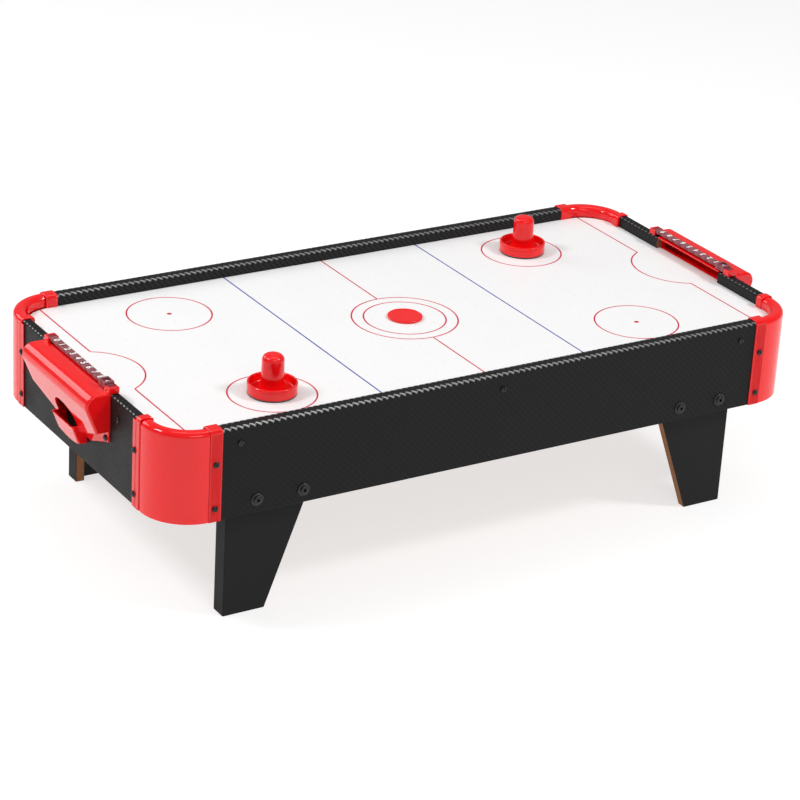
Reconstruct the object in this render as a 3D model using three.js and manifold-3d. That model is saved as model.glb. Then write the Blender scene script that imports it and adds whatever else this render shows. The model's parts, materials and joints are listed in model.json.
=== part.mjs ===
// Table-top air hockey table: millimetres, +Z up, X along the length, origin on the floor under its centre.
// The front long side faces -Y. The -X and +X halves are each other turned half a turn about Z.
import * as THREE from 'three';
import { mergeVertices } from 'three/addons/utils/BufferGeometryUtils.js';
import Module from 'manifold-3d';

const wasm = await Module();
wasm.setup();

// ---------- driving dimensions ----------
const GAP = 0.3; // clearance between pieces that touch
const HALF_LENGTH = 430; // outer face of an end panel
const HALF_WIDTH = 215; // outer face of a long panel
const PANEL_BOTTOM = 131;
const RAIL_TOP = 239; // top of the panels, which stand above the field as its rails
const LONG_THICK = 16; // board thickness of the long panels
const END_THICK = 12; // board thickness of the end panels
const RAIL_ROUND = 3; // rounding of the panels' top edges
const FIELD_TOP = 225.3; // playing surface
const FIELD_THICK = 5;
const MOUTH_HALF = 64; // half width of a goal mouth
const FIELD_END = 424; // where the playing surface ends inside a goal mouth

const GUARD_RADIUS = 56; // outer radius of a corner guard
const GUARD_WALL = 2.5;
const GUARD_DEPTH = 16; // across a guard's rail, from its outer face to its inner face
const GUARD_PROUD = 0.9; // how far a guard's curved wall stands out of the panels
const GUARD_TOP = 239.8;
const BAND_SKIN = 1.8; // how far the end bands of a guard stand out of the panels
const BAND_START_X = 362;
const BAND_END_X = 376.5;
const BAND_START_Y = 141;
const BAND_END_Y = 150.8;
const SCREW_HEIGHTS = [147, 200];

const LEG = { outer: 345.5, footInner: 293, lean: 0.377, top: 185, board: 11, flange: 21.5 };
const BOLTS = { xs: [257.8, 316.2], z: 146.8, shank: 2.5 };

const BOX_HALF = 84; // half length of a goal box
const BOX_WALL = 2.2;
const BOX_REACH = 30; // how far a goal box stands out of its end panel
const BOX_TOP = 241;
const SLANT = 0.39; // outward run of the goal box's lower face per unit of height
const TRAY_HALF = 26.5;

const DIGIT_PITCH = 14.05;
const BAR = { inner: 420.7, outer: 430.2, low: 242.6, high: 246.4, half: 80 };
const MARKER_LENGTH = 16;

const SPOT = { x: 250.7, y: 125 }; // where the mallets stand: two of the face-off spots
const CHAMBER_DEPTH = 26; // height of the air chamber under the playing surface
const FLOOR_THICK = 3;

// ---------- materials ----------
const standard = (color, roughness, metalness = 0) =>
  new THREE.MeshStandardMaterial({ color, roughness, metalness, flatShading: true });
const wrappedBoard = standard(0x232325, 0.5);
const plainBoard = standard(0x1f1f20, 0.65);
const rawBoard = standard(0x8a6446, 0.85);
const whiteBoard = standard(0xf6f6f5, 0.3);
const redPlastic = standard(0xe0161d, 0.25);
const maroonPlastic = standard(0x6e1a26, 0.2);
const felt = standard(0x2b332f, 0.95);
const blackSteel = standard(0x17181a, 0.35, 0.8);
const zincSteel = standard(0x9a9da0, 0.35, 0.9);
const blackPlastic = standard(0x151516, 0.45);

// ---------- geometry helpers ----------
function solid(geometry) {
  const bare = geometry.clone();
  bare.deleteAttribute('normal');
  bare.deleteAttribute('uv');
  const merged = mergeVertices(bare, 1e-4);
  return new wasm.Manifold(new wasm.Mesh({
    numProp: 3,
    vertProperties: new Float32Array(merged.attributes.position.array),
    triVerts: new Uint32Array(merged.index.array),
  }));
}

function surface(body) {
  const mesh = body.getMesh();
  const geometry = new THREE.BufferGeometry();
  geometry.setAttribute('position', new THREE.BufferAttribute(new Float32Array(mesh.vertProperties), 3));
  geometry.setIndex(new THREE.BufferAttribute(new Uint32Array(mesh.triVerts), 1));
  geometry.computeVertexNormals();
  return geometry;
}

const outline = (points) => new THREE.Shape(points.map(([a, b]) => new THREE.Vector2(a, b)));

function extrude(shape, depth) {
  return new THREE.ExtrudeGeometry(shape, { depth, bevelEnabled: false, curveSegments: 6 });
}

// A section drawn in Y and Z, run along X from x0 to x1.
function alongX(shape, x0, x1) {
  const turn = new THREE.Matrix4().makeBasis(
    new THREE.Vector3(0, 1, 0), new THREE.Vector3(0, 0, 1), new THREE.Vector3(1, 0, 0));
  return extrude(shape, x1 - x0).applyMatrix4(turn).translate(x0, 0, 0);
}

// A section drawn in X and Z, run along Y from y0 to y1.
function alongY(shape, y0, y1) {
  return extrude(shape, y1 - y0).rotateX(Math.PI / 2).translate(0, y1, 0);
}

// An outline drawn in X and Y, run up from z0 to z1.
const alongZ = (shape, z0, z1) => extrude(shape, z1 - z0).translate(0, 0, z0);

function box(x0, x1, y0, y1, z0, z1) {
  return new THREE.BoxGeometry(x1 - x0, y1 - y0, z1 - z0)
    .translate((x0 + x1) / 2, (y0 + y1) / 2, (z0 + z1) / 2);
}

// A round rod along X, Y or Z, from a to b, with its axis through the point (u, v) of the other two.
function rod(axis, radius, a, b, u, v, sides = 10) {
  const geometry = new THREE.CylinderGeometry(radius, radius, b - a, sides);
  if (axis === 'x') return geometry.rotateZ(Math.PI / 2).translate((a + b) / 2, u, v);
  if (axis === 'y') return geometry.translate(u, (a + b) / 2, v);
  return geometry.rotateX(Math.PI / 2).translate(u, v, (a + b) / 2);
}

// A profile of radius and height turned about Z.
function lathe(profile, segments) {
  return new THREE.LatheGeometry(profile.map(([r, z]) => new THREE.Vector2(r, z)), segments)
    .rotateX(Math.PI / 2);
}

// An arc of points about a centre, angles in degrees.
function arc(cx, cy, rx, ry, from, to, steps) {
  return Array.from({ length: steps + 1 }, (_, i) => {
    const angle = THREE.MathUtils.degToRad(from + ((to - from) * i) / steps);
    return [cx + rx * Math.cos(angle), cy + ry * Math.sin(angle)];
  });
}

const cut = (body, tools) => tools.reduce((left, tool) => left.subtract(solid(tool)), body);
const join = (geometries) => geometries.slice(1).reduce((sum, g) => sum.add(solid(g)), solid(geometries[0]));

const table = new THREE.Group();
table.name = 'air_hockey_table';

function place(name, geometry, material, parent = table) {
  const mesh = new THREE.Mesh(geometry, material);
  mesh.name = name;
  parent.add(mesh);
  return mesh;
}

// The four corners as signs of X and Y, with the words used in the pieces' names.
const CORNERS = [
  ['front_left', -1, -1], ['front_right', 1, -1], ['back_left', -1, 1], ['back_right', 1, 1],
];

// Geometry made for the +X, +Y corner is mirrored to another corner, keeping its faces outward.
function toCorner(body, sx, sy) {
  const geometry = surface(body);
  geometry.scale(sx, sy, 1);
  if (sx * sy < 0) {
    const index = geometry.index.array;
    for (let i = 0; i < index.length; i += 3) [index[i], index[i + 1]] = [index[i + 1], index[i]];
  }
  geometry.computeVertexNormals();
  return geometry;
}

// ---------- panels ----------
// A board's section from its outer face to its inner face, grown by skin, with round top edges.
function boardSection(outer, inner, bottom, skin = 0) {
  const round = RAIL_ROUND + skin;
  const out = outer + skin;
  const inn = inner - skin;
  const top = RAIL_TOP + skin;
  return [
    [inn, bottom], [out, bottom],
    ...arc(out - round, top - round, round, round, 0, 90, 3),
    ...arc(inn + round, top - round, round, round, 90, 180, 3),
  ];
}

const longInner = HALF_WIDTH - LONG_THICK;
const endInner = HALF_LENGTH - END_THICK;
const fieldLow = FIELD_TOP - FIELD_THICK;
const guardCentre = [HALF_LENGTH, HALF_WIDTH].map((face) => face + GUARD_PROUD - GUARD_RADIUS);
const longHalf = guardCentre[0] - 1;
const endHalf = BAND_END_Y - 1.9;
const screwX = (BAND_START_X + BAND_END_X) / 2;
const screwY = (BAND_START_Y + BAND_END_Y) / 2;
const SWITCH = { x: 160, z: 172 };
const JACK = { x: 195, z: 172, radius: 5.5 };

function longPanel(side) {
  const holes = [];
  for (const sx of [-1, 1]) {
    for (const x of BOLTS.xs) {
      holes.push(rod('y', BOLTS.shank + GAP, longInner - 5, HALF_WIDTH + 5, sx * x, BOLTS.z, 10));
    }
    for (const z of SCREW_HEIGHTS) {
      holes.push(rod('y', 1.5 + GAP, HALF_WIDTH - 10, HALF_WIDTH + 5, sx * screwX, z, 8));
    }
  }
  if (side === 'back') {
    // The power switch and the power inlet go through the back panel.
    holes.push(box(-SWITCH.x - 9.8, -SWITCH.x + 9.8, longInner - 5, HALF_WIDTH + 5,
      SWITCH.z - 6.8, SWITCH.z + 6.8));
    holes.push(rod('y', JACK.radius + GAP, longInner - 5, HALF_WIDTH + 5, -JACK.x, JACK.z, 16));
  }
  const board = alongX(outline(boardSection(HALF_WIDTH, longInner, PANEL_BOTTOM)), -longHalf, longHalf);
  const geometry = surface(cut(solid(board), holes));
  return side === 'front' ? geometry.rotateZ(Math.PI) : geometry;
}

function endPanel() {
  const board = alongY(outline(boardSection(HALF_LENGTH, endInner, PANEL_BOTTOM)), -endHalf, endHalf);
  const holes = [box(endInner - 5, HALF_LENGTH + 5, -MOUTH_HALF, MOUTH_HALF, fieldLow - GAP, RAIL_TOP + 5)];
  for (const sy of [-1, 1]) {
    for (const z of SCREW_HEIGHTS) {
      holes.push(rod('x', 1.5 + GAP, HALF_LENGTH - 9, HALF_LENGTH + 5, sy * screwY, z, 8));
    }
  }
  return surface(cut(solid(board), holes));
}

place('front_panel', longPanel('front'), wrappedBoard);
place('back_panel', longPanel('back'), wrappedBoard);
place('right_end_panel', endPanel(), wrappedBoard);
place('left_end_panel', endPanel().rotateZ(Math.PI), wrappedBoard);

// ---------- playing surface and the air chamber under it ----------
function roundedRectangle(halfX, halfY, radius) {
  return outline([
    ...arc(halfX - radius, halfY - radius, radius, radius, 0, 90, 6),
    ...arc(-halfX + radius, halfY - radius, radius, radius, 90, 180, 6),
    ...arc(-halfX + radius, -halfY + radius, radius, radius, 180, 270, 6),
    ...arc(halfX - radius, -halfY + radius, radius, radius, 270, 360, 6),
  ]);
}

const boardX = endInner - GAP;
const boardY = longInner - GAP;
const chamberLow = fieldLow - GAP - CHAMBER_DEPTH;
const floorHigh = chamberLow - GAP;
const floorLow = floorHigh - FLOOR_THICK;
const FAN = { half: 40, duct: 37, depth: 20, blade: 34.5 };

// The playing surface runs out into both goal mouths.
function playingSurface() {
  const tongues = box(-FIELD_END, FIELD_END, -MOUTH_HALF + GAP, MOUTH_HALF - GAP, fieldLow, FIELD_TOP);
  return surface(join([alongZ(roundedRectangle(boardX, boardY, 45), fieldLow, FIELD_TOP), tongues]));
}
place('playing_surface', playingSurface(), whiteBoard);

function chamberFrame() {
  const ring = roundedRectangle(boardX, boardY, 45);
  ring.holes.push(roundedRectangle(boardX - 14, boardY - 14, 31));
  return alongZ(ring, chamberLow, fieldLow - GAP);
}
place('air_chamber_frame', chamberFrame(), rawBoard);

function chamberFloor() {
  const plate = alongZ(roundedRectangle(boardX, boardY, 45), floorLow, floorHigh);
  return surface(cut(solid(plate), [rod('z', FAN.duct, floorLow - 5, floorHigh + 5, 0, 0, 24)]));
}
place('air_chamber_floor', chamberFloor(), rawBoard);

// ---------- fan ----------
const fanHigh = floorLow - GAP;
const fanLow = fanHigh - FAN.depth;
const grilleHigh = fanLow - GAP;
const HUB_RADIUS = 14;

function fanHousing() {
  const frame = cut(solid(alongZ(roundedRectangle(FAN.half, FAN.half, 5), fanLow, fanHigh)),
    [rod('z', FAN.duct, fanLow - 5, fanHigh + 5, 0, 0, 24)]);
  const struts = [0, 120, 240].map((turn) =>
    box(0, FAN.duct + 1, -1.5, 1.5, fanLow, fanLow + 3).rotateZ(THREE.MathUtils.degToRad(turn + 15)));
  return surface(frame.add(join([...struts, rod('z', HUB_RADIUS, fanLow, fanLow + 3, 0, 0, 18)])));
}
place('fan_housing', fanHousing(), blackPlastic);

const motorLow = fanLow + 3 + GAP;
place('fan_motor', lathe([
  [0, motorLow], [11, motorLow], [11, motorLow + 8], [1.2, motorLow + 8],
  [1.2, motorLow + 11], [0, motorLow + 11],
], 18), zincSteel);

function impeller() {
  const low = motorLow + GAP;
  const high = fanHigh - 2;
  const cup = lathe([
    [0, motorLow + 11 + GAP], [1.6, motorLow + 11 + GAP],
    [1.6, motorLow + 8 + GAP], [11.6, motorLow + 8 + GAP],
    [11.6, low], [HUB_RADIUS, low], [HUB_RADIUS, high - 1], [HUB_RADIUS - 1, high], [0, high],
  ], 18);
  const blades = Array.from({ length: 7 }, (_, i) =>
    new THREE.BoxGeometry(FAN.blade - HUB_RADIUS + 1, 11, 1.4)
      .rotateX(THREE.MathUtils.degToRad(38))
      .translate((FAN.blade + HUB_RADIUS - 1) / 2, 0, (low + high) / 2)
      .rotateZ((i * 2 * Math.PI) / 7));
  return surface(join([cup, ...blades]));
}
place('fan_impeller', impeller(), blackPlastic);

function fanGrille() {
  const low = grilleHigh - 2;
  const ring = (outer, inner) =>
    lathe([[inner, low], [outer, low], [outer, grilleHigh], [inner, grilleHigh], [inner, low]], 18);
  const rings = [[FAN.half - 1, 35], [24, 21]].map(([a, b]) => ring(a, b));
  const spokes = [0, 90].map((turn) =>
    box(-FAN.duct, FAN.duct, -1, 1, low, grilleHigh).rotateZ(THREE.MathUtils.degToRad(turn + 15)));
  return surface(join([...rings, ...spokes]));
}
place('fan_grille', fanGrille(), blackPlastic);

// ---------- corner guards ----------
// A guard's rail section about the corner's centre: a full-height outer wall that rolls over to the field.
function guardSection() {
  const outer = GUARD_RADIUS;
  const inner = GUARD_RADIUS - GUARD_DEPTH;
  const round = 6.5;
  const low = FIELD_TOP + GAP;
  const w = GUARD_WALL;
  return [
    [outer, PANEL_BOTTOM],
    ...arc(outer - round, GUARD_TOP - round, round, round, 0, 90, 3),
    ...arc(inner + round, GUARD_TOP - round, round, round, 90, 180, 3),
    [inner, low], [inner + w, low],
    ...arc(inner + round, GUARD_TOP - round, round - w, round - w, 180, 90, 2),
    ...arc(outer - round, GUARD_TOP - round, round - w, round - w, 90, 0, 2),
    [outer - w, PANEL_BOTTOM],
  ];
}

// An end band: the same roll-over, fitted closely round a panel's section.
function bandSection(outer, inner) {
  const outside = boardSection(outer, inner, PANEL_BOTTOM, BAND_SKIN).slice(1);
  const inside = boardSection(outer, inner, PANEL_BOTTOM, GAP).slice(1).reverse();
  return [...outside, [inner - BAND_SKIN, FIELD_TOP + GAP], [inner - GAP, FIELD_TOP + GAP], ...inside];
}

function guard() {
  const [cx, cy] = guardCentre;
  const section = guardSection();
  const turned = solid(lathe([...section, section[0]], 24).translate(cx, cy, 0));
  const curve = turned.intersect(solid(box(cx, cx + 100, cy, cy + 100, 100, 260)));
  const shifted = (offset) => outline(section.map(([r, z]) => [offset + r, z]));
  const straightY = alongY(shifted(cx), BAND_END_Y - 1.3, cy + 0.5);
  const straightX = alongX(shifted(cy), cx - 0.4, cx + 0.5);
  const bandX = alongX(outline(bandSection(HALF_WIDTH, longInner)), BAND_START_X, BAND_END_X);
  const bandY = alongY(outline(bandSection(HALF_LENGTH, endInner)), BAND_START_Y, BAND_END_Y);
  // A step joins the long side's band to the slimmer rail of the curve.
  const step = solid(alongX(outline(boardSection(HALF_WIDTH, longInner, FIELD_TOP + GAP, BAND_SKIN)),
    cx - 0.4, BAND_END_X));
  const hollow = box(cx - 10, cx + 10, cy + GUARD_RADIUS - GUARD_DEPTH + GUARD_WALL,
    HALF_WIDTH - 1.6, FIELD_TOP - 5, GUARD_TOP - GUARD_WALL);
  let body = curve.add(join([straightY, straightX, bandX, bandY])).add(cut(step, [hollow]));
  for (const z of SCREW_HEIGHTS) {
    body = cut(body, [
      rod('y', 1.5 + GAP, HALF_WIDTH - 5, HALF_WIDTH + 5, screwX, z, 8),
      rod('x', 1.5 + GAP, HALF_LENGTH - 5, HALF_LENGTH + 5, screwY, z, 8),
    ]);
  }
  return body;
}

const guardBody = guard();
for (const [corner, sx, sy] of CORNERS) {
  place(`${corner}_corner_guard`, toCorner(guardBody, sx, sy), redPlastic);
}

// A pan-head screw along +Z: the head's underside is at 0 and its shank goes down.
function panScrew(headRadius, headHeight, shankRadius, length) {
  return lathe([
    [0, -length], [shankRadius, -length], [shankRadius, 0], [headRadius, 0],
    [headRadius * 0.75, headHeight * 0.8], [0, headHeight],
  ], 8);
}

function placeScrew(name, geometry, material, x, y, z, outward) {
  const screw = place(name, geometry, material);
  screw.position.set(x, y, z);
  screw.quaternion.setFromUnitVectors(new THREE.Vector3(0, 0, 1), outward);
}

for (const [corner, sx, sy] of CORNERS) {
  SCREW_HEIGHTS.forEach((z, i) => {
    const level = ['lower', 'upper'][i];
    const seat = BAND_SKIN + GAP;
    placeScrew(`${corner}_guard_side_screw_${level}`, panScrew(3.65, 2.2, 1.5, 10), blackSteel,
      sx * screwX, sy * (HALF_WIDTH + seat), z, new THREE.Vector3(0, sy, 0));
    placeScrew(`${corner}_guard_end_screw_${level}`, panScrew(3.65, 2.2, 1.5, 9), blackSteel,
      sx * (HALF_LENGTH + seat), sy * screwY, z, new THREE.Vector3(sx, 0, 0));
  });
}

// ---------- legs ----------
// A leg is a tapered board with a flange folded back along its upright outer edge.
function leg() {
  const face = longInner - GAP;
  const innerAt = (z) => LEG.footInner - LEG.lean * z;
  const board = alongY(outline([
    [LEG.footInner, 0], [LEG.outer, 0], [LEG.outer, LEG.top], [innerAt(LEG.top), LEG.top],
  ]), face - LEG.board, face);
  const flange = box(LEG.outer - LEG.board, LEG.outer, face - LEG.flange, face, 0, LEG.top);
  const holes = BOLTS.xs.map((x) =>
    rod('y', BOLTS.shank + GAP, face - LEG.flange - 5, face + 5, x, BOLTS.z, 10));
  return cut(join([board, flange]), holes);
}

// A leg bolt along +Z: flat washer and button head outside, a nut on the leg's inner face.
function legBolt() {
  const grip = LONG_THICK + GAP + LEG.board + 2 * GAP;
  const head = lathe([
    [0, -grip - 6], [BOLTS.shank, -grip - 6], [BOLTS.shank, 0], [7.5, 0], [7.5, 1.2], [5, 1.2],
    [4, 3.6], [0, 3.6],
  ], 10);
  const nut = new THREE.CylinderGeometry(4.6, 4.6, 4, 6).rotateX(Math.PI / 2).translate(0, 0, -grip - 2);
  return surface(join([head, nut]));
}

const legBody = leg();
const boltGeometry = legBolt();
for (const [corner, sx, sy] of CORNERS) {
  place(`${corner}_leg`, toCorner(legBody, sx, sy), plainBoard);
  BOLTS.xs.forEach((x, i) => {
    placeScrew(`${corner}_leg_bolt_${['inner', 'outer'][i]}`, boltGeometry, zincSteel,
      sx * x, sy * (HALF_WIDTH + GAP), BOLTS.z, new THREE.Vector3(0, sy, 0));
  });
}

// ---------- goal boxes ----------
// Heights on the goal box, and the outward run of its slanted lower face at a height.
const BOX_BULGE = 228;
const BOX_LOW = 195; // bottom corner at a goal box's ends
const MIDDLE_LOW = 171; // bottom corner beside the tray
const slantRun = (z) => BOX_REACH - 12.5 + SLANT * (z - BOX_LOW);

// The goal box's side outline in outward distance and height, offset inwards by wall.
function boxProfile(wall, low) {
  const round = 13 - wall;
  return [
    [wall ? -2 : GAP, low], [slantRun(low) - wall, low],
    ...arc(BOX_REACH - 13, BOX_BULGE, round, round, -20, 90, 7),
    [wall ? -2 : GAP, BOX_BULGE + round],
  ].map(([run, z]) => [HALF_LENGTH + run, z]);
}

// The region above the goal box's bottom edge, which dips to the tray in the middle.
function aboveBottom(lift) {
  const far = BOX_HALF + 10;
  const slope = (BOX_LOW - MIDDLE_LOW) / (BOX_HALF - TRAY_HALF);
  const edge = (y) => MIDDLE_LOW + lift + slope * (y - TRAY_HALF);
  return alongX(outline([
    [far, 260], [-far, 260], [-far, edge(far)], [-TRAY_HALF, edge(TRAY_HALF)],
    [TRAY_HALF, edge(TRAY_HALF)], [far, edge(far)],
  ]), HALF_LENGTH - 10, HALF_LENGTH + 60);
}

// The tray's side outline: its front leans with the slanted face, RIM_RUN out of the panel at its rim.
const TRAY = { rim: 179, rimRun: 19.2, low: 157, dip: 5 };
function trayProfile(wall) {
  const lean = (z) => TRAY.rimRun - wall - SLANT * (TRAY.rim - z);
  const low = TRAY.low - TRAY.dip + wall;
  const high = TRAY.rim + (wall ? 3 : 0);
  return [
    [wall ? -2 : GAP, low], [lean(low), low], [lean(high), high], [wall ? -2 : GAP, high],
  ].map(([run, z]) => [HALF_LENGTH + run, z]);
}

// The tray's front outline, with a bottom that sags in the middle.
function trayFront(wall) {
  const half = TRAY_HALF - wall;
  const radius = (TRAY_HALF ** 2 + TRAY.dip ** 2) / (2 * TRAY.dip);
  const centre = TRAY.low - TRAY.dip + radius;
  const reach = THREE.MathUtils.radToDeg(Math.asin(half / (radius - wall)));
  return alongX(outline([
    [half, 230], [-half, 230],
    ...arc(0, centre, radius - wall, radius - wall, -90 - reach, -90 + reach, 6),
  ]), HALF_LENGTH - 10, HALF_LENGTH + 60);
}

// The puck return: an arch cut through the slanted face, open to the tray below it.
function archCut() {
  return alongX(outline([
    ...arc(0, 186, TRAY_HALF - 2, 17, 0, 180, 10),
    [-TRAY_HALF + BOX_WALL, 172], [TRAY_HALF - BOX_WALL, 172],
  ]), HALF_LENGTH + 3, HALF_LENGTH + 40);
}

// The flange lies on the end panel below the box and carries a screw at each end.
const TAB_SCREW = { y: 77.5, z: 186 };
function flange() {
  const right = [
    [TRAY_HALF - 1, 196], [TRAY_HALF - 1, 166], [41, 166], [79, 181],
    ...arc(80, 185, 4, 4, -75, 0, 3), [84, 196],
  ];
  const left = right.map(([y, z]) => [-y, z]).reverse();
  return [right, left].map((side) =>
    alongX(outline(side), HALF_LENGTH + GAP, HALF_LENGTH + GAP + 2.2));
}

function goalBox() {
  const run = (profile, half) => solid(alongY(outline(profile), -half, half));
  const shell = run(boxProfile(0, 160), BOX_HALF).intersect(solid(aboveBottom(0)));
  const tray = run(trayProfile(0), TRAY_HALF).intersect(solid(trayFront(0)));
  const hollow = run(boxProfile(BOX_WALL, 160), BOX_HALF - BOX_WALL).intersect(solid(aboveBottom(BOX_WALL)));
  const trayHollow = run(trayProfile(BOX_WALL), TRAY_HALF - BOX_WALL).intersect(solid(trayFront(BOX_WALL)));
  // The top runs on over the goal mouth, and a sill and two linings under it frame the outer half
  // of the mouth. Two blocks on the rail hold the score bar.
  const lintel = box(endInner + GAP, HALF_LENGTH + 5, -MOUTH_HALF + 0.5, MOUTH_HALF - 0.5,
    BOX_TOP - BOX_WALL, BOX_TOP);
  const [sleeveIn, sleeveOut] = [FIELD_END + GAP, HALF_LENGTH + 0.5];
  const sill = box(sleeveIn, sleeveOut, -MOUTH_HALF + 0.5, MOUTH_HALF - 0.5, fieldLow, FIELD_TOP - 0.4);
  const linings = [-1, 1].map((sy) => sy * (MOUTH_HALF - 1.1)).map((y) =>
    box(sleeveIn, sleeveOut, y - 0.6, y + 0.6, fieldLow, BOX_TOP - 1));
  const blocks = [-1, 1].flatMap((sy) => {
    const [y0, y1] = [Math.min(sy * 71.8, sy * 83.5), Math.max(sy * 71.8, sy * 83.5)];
    return [
      box(endInner + 1, HALF_LENGTH + 2.4, y0, y1, RAIL_TOP + GAP, 246.7),
      box(HALF_LENGTH + GAP, HALF_LENGTH + 2.4, y0, y1, BOX_TOP - 2, 246.7),
    ];
  });
  const body = cut(shell.add(tray).subtract(hollow).subtract(trayHollow), [archCut()])
    .add(join([lintel, sill, ...linings]))
    .add(join(blocks.slice(0, 2)))
    .add(join(blocks.slice(2)))
    .add(solid(flange()[0]))
    .add(solid(flange()[1]));
  return surface(cut(body, [
    box(BAR.inner - GAP, BAR.outer + GAP, -BAR.half - GAP, BAR.half + GAP, BAR.low - GAP, 260),
    rod('x', 1.8, HALF_LENGTH - 5, HALF_LENGTH + 10, TAB_SCREW.y, TAB_SCREW.z, 8),
    rod('x', 1.8, HALF_LENGTH - 5, HALF_LENGTH + 10, -TAB_SCREW.y, TAB_SCREW.z, 8),
  ]));
}

// ---------- score bars and markers ----------
const scoreBar = () => box(BAR.inner, BAR.outer, -BAR.half, BAR.half, BAR.low, BAR.high);

// A marker clips round the bar and shows one digit through the window in its top.
function marker() {
  const wall = 1.1;
  const [x0, x1] = [BAR.inner - GAP, BAR.outer + GAP];
  const half = MARKER_LENGTH / 2;
  const clip = box(x0 - wall, x1 + wall, -half, half, BAR.low - GAP - 1, 249);
  return surface(cut(solid(clip), [
    box(x0, x1, -half - 5, half + 5, BAR.low - GAP, BAR.high + GAP + 0.1),
    box(x0 + 1.4, x1 - 1.4, -half - 5, half + 5, BAR.low - 5, BAR.low + 1),
    box(x0 + 1, x1 - 1, -half + 3, half - 3, BAR.high - 1, 255),
  ]));
}

for (const [side, turn, stop] of [['left', Math.PI, 1], ['right', 0, -1]]) {
  const end = new THREE.Group();
  end.rotation.z = turn;
  table.add(end);
  place(`${side}_goal_box`, goalBox(), redPlastic, end);
  place(`${side}_score_bar`, scoreBar(), maroonPlastic, end);
  place(`${side}_score_marker`, marker(), maroonPlastic, end).position.y = stop * 4.5 * DIGIT_PITCH;
}

// ---------- mallets and puck ----------
const MALLET = { radius: 28.75, rim: 14.5, wall: 2.5, low: 1.6, floor: 4.6, knob: 13, height: 47 };

function mallet() {
  const m = MALLET;
  return lathe([
    [0, 41], [9.5, 39], [9.5, m.low], [m.radius - 0.6, m.low], [m.radius, m.low + 0.6],
    [m.radius, m.rim - 1], [m.radius - 1.2, m.rim], [m.radius - m.wall, m.rim - 0.8],
    [m.radius - m.wall, m.floor],
    [17, m.floor], [14.2, 7.5], [m.knob - 0.3, 13],
    ...arc(m.knob - 7, m.height - 7.5, 7, 6.5, 0, 72, 3), [0, m.height],
  ], 24);
}

const feltRing = () => lathe([[21, GAP], [28, GAP], [28, 1.3], [21, 1.3], [21, GAP]], 24);

for (const [name, sx, sy] of [['near', -1, -1], ['far', 1, 1]]) {
  const stand = new THREE.Group();
  stand.position.set(sx * SPOT.x, sy * SPOT.y, FIELD_TOP);
  table.add(stand);
  place(`${name}_mallet`, mallet(), redPlastic, stand);
  place(`${name}_mallet_felt`, feltRing(), felt, stand);
}

function puck() {
  return lathe([
    [0, GAP], [20.5, GAP], [21, GAP + 0.5], [21, 2.6], [20.5, 3.1], [19.3, 3.1], [18.9, 2.7], [0, 2.7],
  ], 32);
}
place('puck', puck(), redPlastic).position.set(0, 0, FIELD_TOP);

// ---------- power switch and inlet on the back panel ----------
const bezelSeat = HALF_WIDTH + GAP;

function switchBody() {
  const { x, z } = SWITCH;
  const flangePlate = box(-x - 11.5, -x + 11.5, bezelSeat, bezelSeat + 2, z - 8.5, z + 8.5);
  const barrel = box(-x - 9.5, -x + 9.5, longInner, bezelSeat + 1, z - 6.5, z + 6.5);
  const well = box(-x - 7.7, -x + 7.7, bezelSeat - 11, bezelSeat + 5, z - 5.2, z + 5.2);
  return surface(cut(join([flangePlate, barrel]), [well]));
}
place('power_switch_housing', switchBody(), blackPlastic);

// The rocker is drawn about its pivot, level, and rests tipped to off.
function rocker() {
  const shape = outline([[-4.4, 2], [-3, -4], [3, -4], [4.4, 2], [0, 3.4]].map(([h, out]) => [out, h]));
  return alongX(shape, -7.3, 7.3);
}
const rockerMesh = place('power_switch_rocker', rocker(), redPlastic);
rockerMesh.position.set(-SWITCH.x, bezelSeat - 0.4, SWITCH.z);
rockerMesh.rotation.x = THREE.MathUtils.degToRad(8);

function inlet() {
  const r = JACK.radius;
  return lathe([
    [0, -14], [r, -14], [r, 0], [r + 1.8, 0], [r + 1.8, 1.5], [2.9, 1.5], [2.9, -9],
    [1, -9], [1, -1], [0, -0.6],
  ], 20);
}
placeScrew('power_inlet', inlet(), blackPlastic, -JACK.x, bezelSeat, JACK.z, new THREE.Vector3(0, 1, 0));

// ---------- lead from the inlet and the switch to the fan ----------
function fanLead() {
  const z = floorLow - 3.6;
  const route = new THREE.CatmullRomCurve3([
    [-JACK.x, bezelSeat - 14.5, JACK.z], [-JACK.x, 185, JACK.z + 1], [-190, 165, z - 6], [-178, 145, z],
    [-140, 100, z], [-80, 40, z], [-42.5, 12, z],
  ].map(([x, y, h]) => new THREE.Vector3(x, y, h)));
  const section = new THREE.Shape().absarc(0, 0, 2, 0, Math.PI * 2);
  return new THREE.ExtrudeGeometry(section, {
    steps: 18, curveSegments: 4, bevelEnabled: false, extrudePath: route,
  });
}
place('fan_lead', fanLead(), blackPlastic);

export default table;
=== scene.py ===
"""The looks of a table-top air hockey table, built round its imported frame.

The builders work in millimetres along the frame's own axes (X along the table, the front side at -Y,
+Z up), and new_mesh() turns what they make into metres. Each piece rides on a body of the frame.
"""

import json
import math
import random

import bmesh
import bpy
from mathutils import Matrix, Quaternion, Vector

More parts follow.
